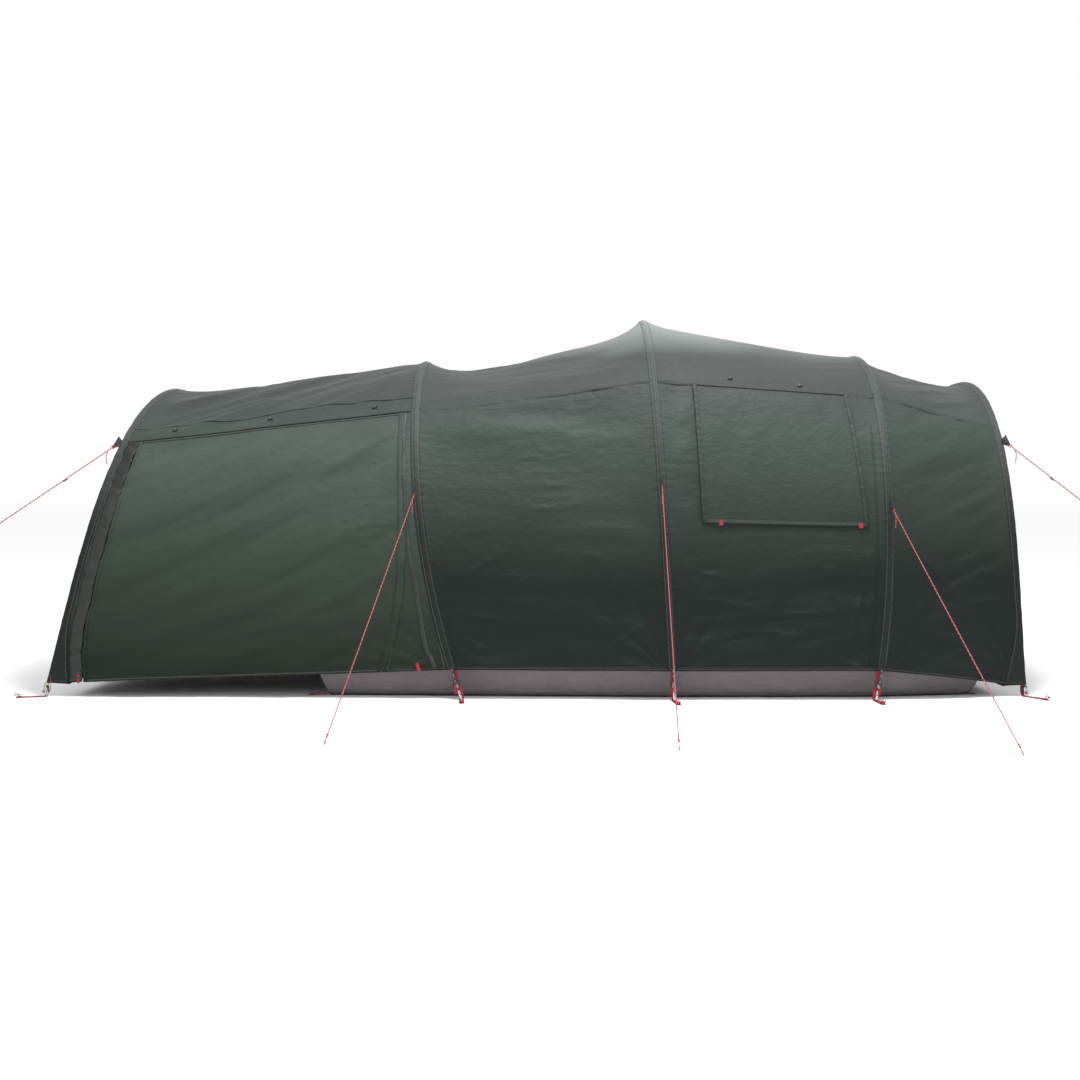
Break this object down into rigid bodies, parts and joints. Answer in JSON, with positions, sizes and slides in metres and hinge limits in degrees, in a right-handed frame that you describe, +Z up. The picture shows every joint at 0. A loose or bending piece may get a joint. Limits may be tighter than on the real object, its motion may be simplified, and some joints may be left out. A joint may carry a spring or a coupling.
{
  "type": "tunnel tent",
  "caption": "Long tunnel tent on curved poles, with an awning room, lifting doors, covered windows, a groundsheet and guy ropes.",
  "frame": {"origin": "on the ground under the middle of the tent", "axes": "+Z up; +X from the awning end to the rear end, along the tent; the tent is alike on its -Y and +Y sides"},
  "size_m": [7.1841, 5.2026, 2.0653],
  "materials": {
    "pole_coating": "wrapped fibreglass, satin",
    "roof_cloth": "coated polyester, faint sheen",
    "wall_cloth": "coated polyester, matt",
    "groundsheet_cloth": "woven polyethylene",
    "window_film": "clear film",
    "webbing": "flat woven webbing",
    "tab_cloth": "bonded cloth",
    "guy_cord": "braided cord with pale tracers"
  },
  "bodies": {
    "tent": {"pole_arch_1": "pole_coating", "pole_arch_2": "pole_coating", "pole_arch_3": "pole_coating", "pole_arch_4": "pole_coating", "pole_arch_5": "pole_coating", "roof_1": "roof_cloth", "roof_2": "roof_cloth", "roof_3": "roof_cloth", "roof_4": "roof_cloth", "front_wall": "wall_cloth", "rear_wall": "wall_cloth", "groundsheet": "groundsheet_cloth", "side_gusset_front_near": "wall_cloth", "side_gusset_rear_near": "wall_cloth", "wall_2_near": "wall_cloth", "wall_3_near": "wall_cloth", "wall_4_near": "wall_cloth", "window_pane_near": "window_film", "foot_strap_1_near": "webbing", "guy_tab_1_near": "tab_cloth", "guy_rope_1_near": "guy_cord", "foot_strap_2_near": "webbing", "guy_tab_2_near": "tab_cloth", "guy_rope_2_near": "guy_cord", "foot_strap_3_near": "webbing", "guy_tab_3_near": "tab_cloth", "guy_rope_3_near": "guy_cord", "foot_strap_4_near": "webbing", "guy_tab_4_near": "tab_cloth", "guy_rope_4_near": "guy_cord", "foot_strap_5_near": "webbing", "guy_tab_5_near": "tab_cloth", "guy_rope_5_near": "guy_cord", "side_gusset_front_far": "wall_cloth", "side_gusset_rear_far": "wall_cloth", "wall_2_far": "wall_cloth", "wall_3_far": "wall_cloth", "wall_4_far": "wall_cloth", "window_pane_far": "window_film", "foot_strap_1_far": "webbing", "guy_tab_1_far": "tab_cloth", "guy_rope_1_far": "guy_cord", "foot_strap_2_far": "webbing", "guy_tab_2_far": "tab_cloth", "guy_rope_2_far": "guy_cord", "foot_strap_3_far": "webbing", "guy_tab_3_far": "tab_cloth", "guy_rope_3_far": "guy_cord", "foot_strap_4_far": "webbing", "guy_tab_4_far": "tab_cloth", "guy_rope_4_far": "guy_cord", "foot_strap_5_far": "webbing", "guy_tab_5_far": "tab_cloth", "guy_rope_5_far": "guy_cord"},
    "side_door_near": {"side_door_near": "wall_cloth"},
    "side_door_far": {"side_door_far": "wall_cloth"},
    "front_door": {"front_door": "wall_cloth"},
    "window_cover_near": {"window_cover_near": "wall_cloth"},
    "window_cover_far": {"window_cover_far": "wall_cloth"}
  },
  "joints": [
    {"name": "side_door_near_lift", "type": "hinge", "parent": "tent", "child": "side_door_near", "pos_m": [-2.16024, -0.75462, 1.32788], "axis": [-0.9938, 0.0294, -0.1076], "range_deg": [0, 90]},
    {"name": "side_door_far_lift", "type": "hinge", "parent": "tent", "child": "side_door_far", "pos_m": [-2.16024, 0.75462, 1.32788], "axis": [0.9938, 0.0294, 0.1076], "range_deg": [0, 90]},
    {"name": "front_door_lift", "type": "hinge", "parent": "tent", "child": "front_door", "pos_m": [-2.2331, 0, 1.294], "axis": [0, 1, 0], "range_deg": [0, 100]},
    {"name": "window_cover_near_lift", "type": "hinge", "parent": "tent", "child": "window_cover_near", "pos_m": [0.81936, -0.86223, 1.63341], "axis": [-0.9957, -0.0674, 0.0641], "range_deg": [0, 120]},
    {"name": "window_cover_far_lift", "type": "hinge", "parent": "tent", "child": "window_cover_far", "pos_m": [0.81936, 0.86223, 1.63341], "axis": [0.9957, -0.0674, -0.0641], "range_deg": [0, 120]}
  ]
}
